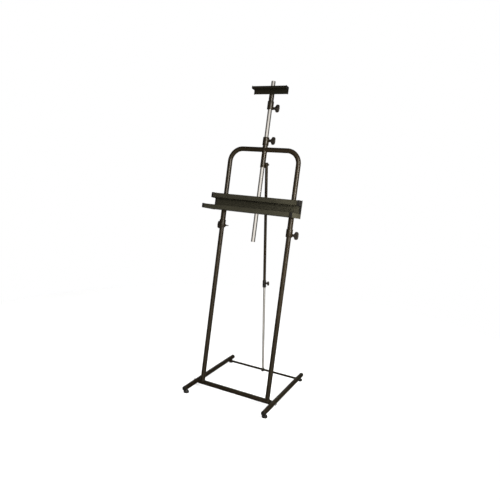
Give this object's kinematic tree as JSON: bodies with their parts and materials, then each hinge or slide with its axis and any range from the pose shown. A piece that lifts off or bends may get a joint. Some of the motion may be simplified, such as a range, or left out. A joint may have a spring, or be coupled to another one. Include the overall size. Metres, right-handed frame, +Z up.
{
  "type": "studio easel",
  "caption": "Free-standing tubular steel easel with a leaning frame, sliding mast with top clamp, sliding ledge with shelf, and a telescopic rear strut.",
  "frame": {"origin": "on the floor, in the middle of the base's footprint", "axes": "+Z up, +Y to the back of the easel, +X to the user's right when facing it"},
  "size_m": [0.508, 0.561, 1.6879],
  "materials": {
    "black_steel": "satin brown-black powder coat",
    "ledge_paint": "satin olive-black paint",
    "hood_paint": "satin black paint",
    "chrome": "bright chrome plate",
    "zinc": "blackened zinc plate",
    "black_plastic": "moulded, fine texture",
    "knob_plastic": "moulded, fine texture",
    "rubber": "matt"
  },
  "bodies": {
    "base": {"side_rail_left": "black_steel", "side_rail_right": "black_steel", "rear_bar": "black_steel", "rail_cap_front_left": "black_plastic", "rail_cap_front_right": "black_plastic", "rail_cap_rear_left": "black_plastic", "rail_cap_rear_right": "black_plastic", "foot_inserts": "zinc"},
    "frame": {"crossbar": "black_steel", "crossbar_inserts": "zinc", "pivot_bolts": "zinc", "pivot_washers": "black_plastic", "upright_left": "black_steel", "upright_right": "black_steel", "mast_socket": "black_steel", "strut_lug": "black_steel", "socket_clamp": "black_steel", "socket_clamp_nut": "zinc", "strut_pivot_bolt": "zinc", "strut_pivot_nut": "zinc"},
    "mast": {"mast_tube": "chrome"},
    "top_clamp": {"holder_sleeve": "black_steel", "holder_clamp": "black_steel", "holder_clamp_nut": "zinc", "holder_hood": "hood_paint", "holder_rivets": "zinc", "holder_cap_left": "black_plastic", "holder_cap_right": "black_plastic"},
    "ledge": {"ledge_sleeve_left": "black_steel", "ledge_sleeve_right": "black_steel", "ledge_clamp_left": "black_steel", "ledge_clamp_right": "black_steel", "ledge_clamp_nuts": "zinc", "ledge_panel": "ledge_paint", "ledge_shelf": "ledge_paint", "ledge_rivets": "zinc", "ledge_cap_left": "black_plastic", "ledge_cap_right": "black_plastic"},
    "strut_outer": {"strut_tube": "black_steel", "strut_collar": "black_plastic"},
    "strut_inner": {"strut_rod": "chrome", "strut_eye": "black_steel"},
    "knob_socket": {"socket_knob": "knob_plastic", "socket_knob_screw": "zinc"},
    "knob_top_clamp": {"holder_knob": "knob_plastic", "holder_knob_screw": "zinc"},
    "knob_ledge_left": {"ledge_knob_left": "knob_plastic", "ledge_knob_screw_left": "zinc"},
    "knob_ledge_right": {"ledge_knob_right": "knob_plastic", "ledge_knob_screw_right": "zinc"},
    "knob_strut": {"strut_knob": "knob_plastic", "strut_knob_screw": "zinc"},
    "foot_front_left": {"foot_front_left": "rubber", "foot_stud_front_left": "zinc"},
    "foot_front_right": {"foot_front_right": "rubber", "foot_stud_front_right": "zinc"},
    "foot_rear_left": {"foot_rear_left": "rubber", "foot_stud_rear_left": "zinc"},
    "foot_rear_right": {"foot_rear_right": "rubber", "foot_stud_rear_right": "zinc"}
  },
  "joints": [
    {"name": "frame_tilt", "type": "hinge", "parent": "base", "child": "frame", "pos_m": [0, -0.1505, 0.03], "axis": [-1, 0, 0], "range_deg": [-7, 8]},
    {"name": "strut_swing", "type": "hinge", "parent": "frame", "child": "strut_outer", "pos_m": [0.0105, 0.02395, 1.25386], "axis": [-1, 0, 0], "range_deg": [-0.5, 0.5]},
    {"name": "strut_extend", "type": "slide", "parent": "strut_outer", "child": "strut_inner", "axis": [0, 0.1472, -0.9891], "range_m": [-0.051, 0.045]},
    {"name": "mast_slide", "type": "slide", "parent": "frame", "child": "mast", "axis": [0, 0.1219, 0.9925], "range_m": [-0.05, 0.38]},
    {"name": "top_clamp_slide", "type": "slide", "parent": "mast", "child": "top_clamp", "axis": [0, 0.1219, 0.9925], "range_m": [-0.075, 0.035]},
    {"name": "ledge_slide", "type": "slide", "parent": "frame", "child": "ledge", "axis": [0, 0.1219, 0.9925], "range_m": [-0.78, 0.18]},
    {"name": "socket_knob_turn", "type": "hinge", "parent": "frame", "child": "knob_socket", "pos_m": [0, 0.03943, 1.37992], "axis": [1, 0, 0], "continuous": true},
    {"name": "top_clamp_knob_turn", "type": "hinge", "parent": "top_clamp", "child": "knob_top_clamp", "pos_m": [0, 0.06027, 1.54964], "axis": [1, 0, 0], "continuous": true},
    {"name": "ledge_knob_left_turn", "type": "hinge", "parent": "ledge", "child": "knob_ledge_left", "pos_m": [-0.199, -0.01858, 0.90746], "axis": [-1, 0, 0], "continuous": true},
    {"name": "ledge_knob_right_turn", "type": "hinge", "parent": "ledge", "child": "knob_ledge_right", "pos_m": [0.199, -0.01956, 0.89952], "axis": [1, 0, 0], "continuous": true},
    {"name": "strut_knob_turn", "type": "hinge", "parent": "strut_outer", "child": "knob_strut", "pos_m": [0.0105, 0.12302, 0.58819], "axis": [1, 0, 0], "continuous": true},
    {"name": "foot_front_left_turn", "type": "hinge", "parent": "base", "child": "foot_front_left", "pos_m": [-0.235, -0.255, 0], "axis": [0, 0, 1], "continuous": true},
    {"name": "foot_front_right_turn", "type": "hinge", "parent": "base", "child": "foot_front_right", "pos_m": [0.235, -0.255, 0], "axis": [0, 0, 1], "continuous": true},
    {"name": "foot_rear_left_turn", "type": "hinge", "parent": "base", "child": "foot_rear_left", "pos_m": [-0.235, 0.255, 0], "axis": [0, 0, 1], "continuous": true},
    {"name": "foot_rear_right_turn", "type": "hinge", "parent": "base", "child": "foot_rear_right", "pos_m": [0.235, 0.255, 0], "axis": [0, 0, 1], "continuous": true}
  ],
  "couplings": [
    {"joint": "strut_swing", "follows": "frame_tilt", "ratio": -0.0402},
    {"joint": "strut_extend", "follows": "frame_tilt", "m_per_rad": -0.35365}
  ]
}
